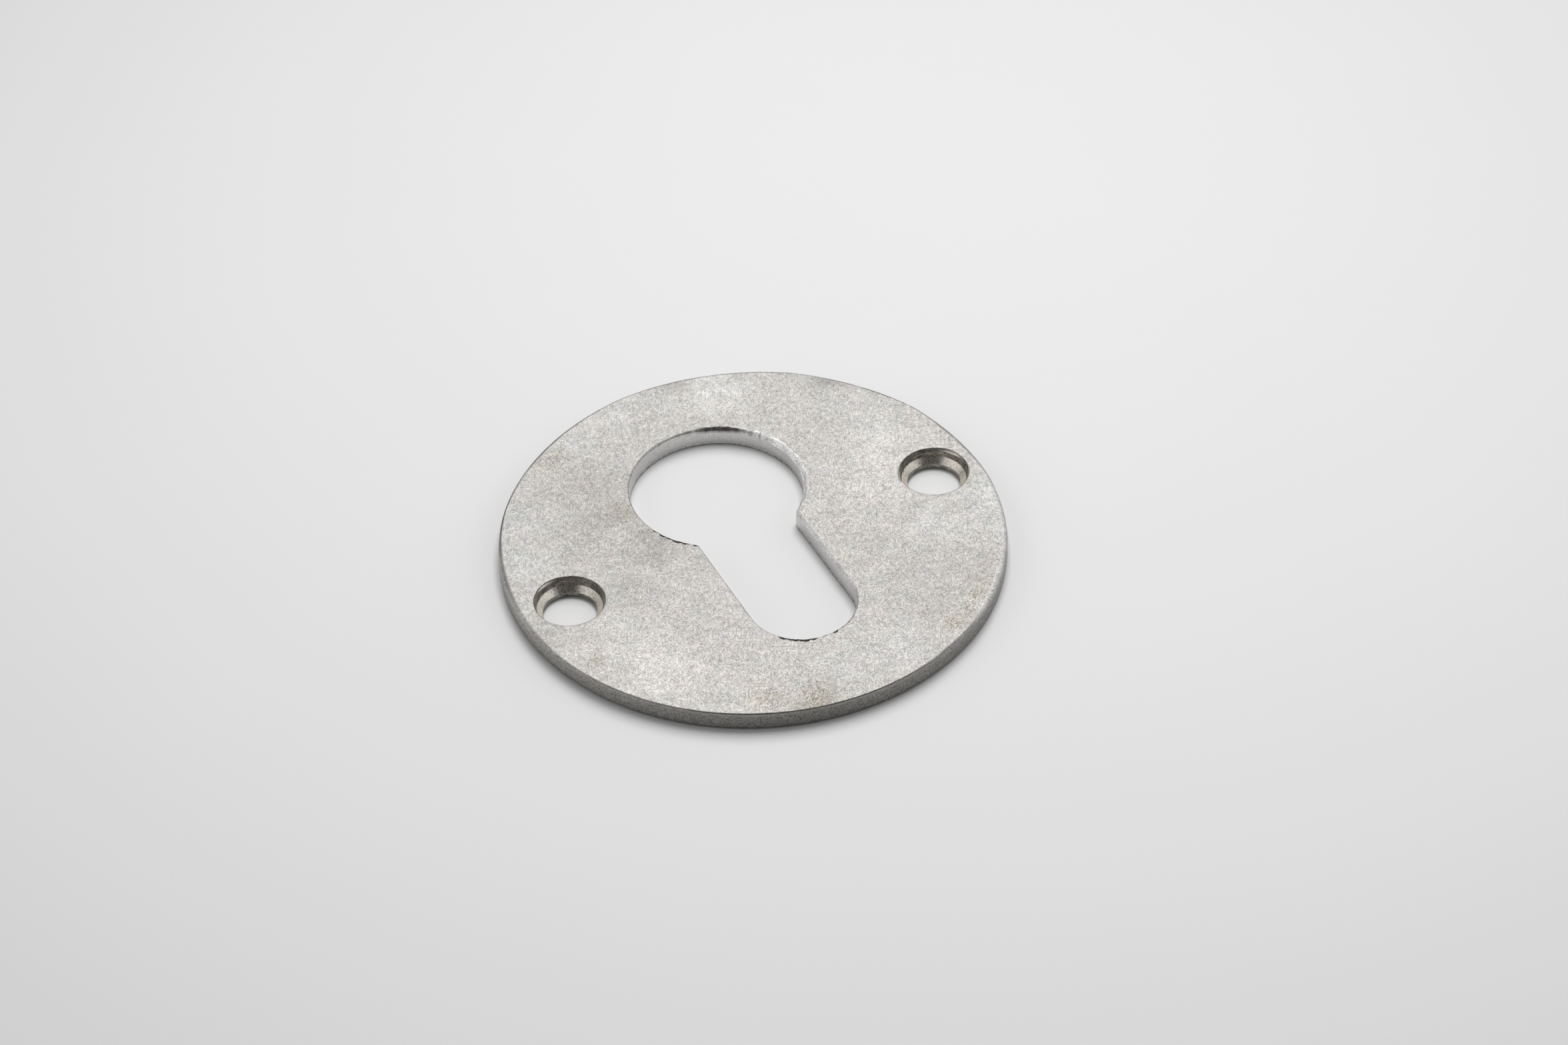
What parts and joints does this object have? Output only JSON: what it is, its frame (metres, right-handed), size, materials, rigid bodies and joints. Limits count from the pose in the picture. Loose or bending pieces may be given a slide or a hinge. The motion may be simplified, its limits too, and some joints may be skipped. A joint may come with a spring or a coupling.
{
  "type": "keyhole escutcheon",
  "caption": "Flat round metal plate with a keyhole cut to the outline of a profile lock cylinder, and countersunk screw holes either side of it.",
  "frame": {"origin": "middle of the back face", "axes": "+Z out of the front face, +Y up the door towards the keyhole's round head, +X to the right seen from the front"},
  "size_m": [0.052, 0.052, 0.0021],
  "materials": {
    "tumbled_metal": "tumbled matt grey with a fine random grain, soft rounded edges and darker sides"
  },
  "bodies": {
    "root": {"escutcheon_plate": "tumbled_metal"}
  },
  "joints": []
}
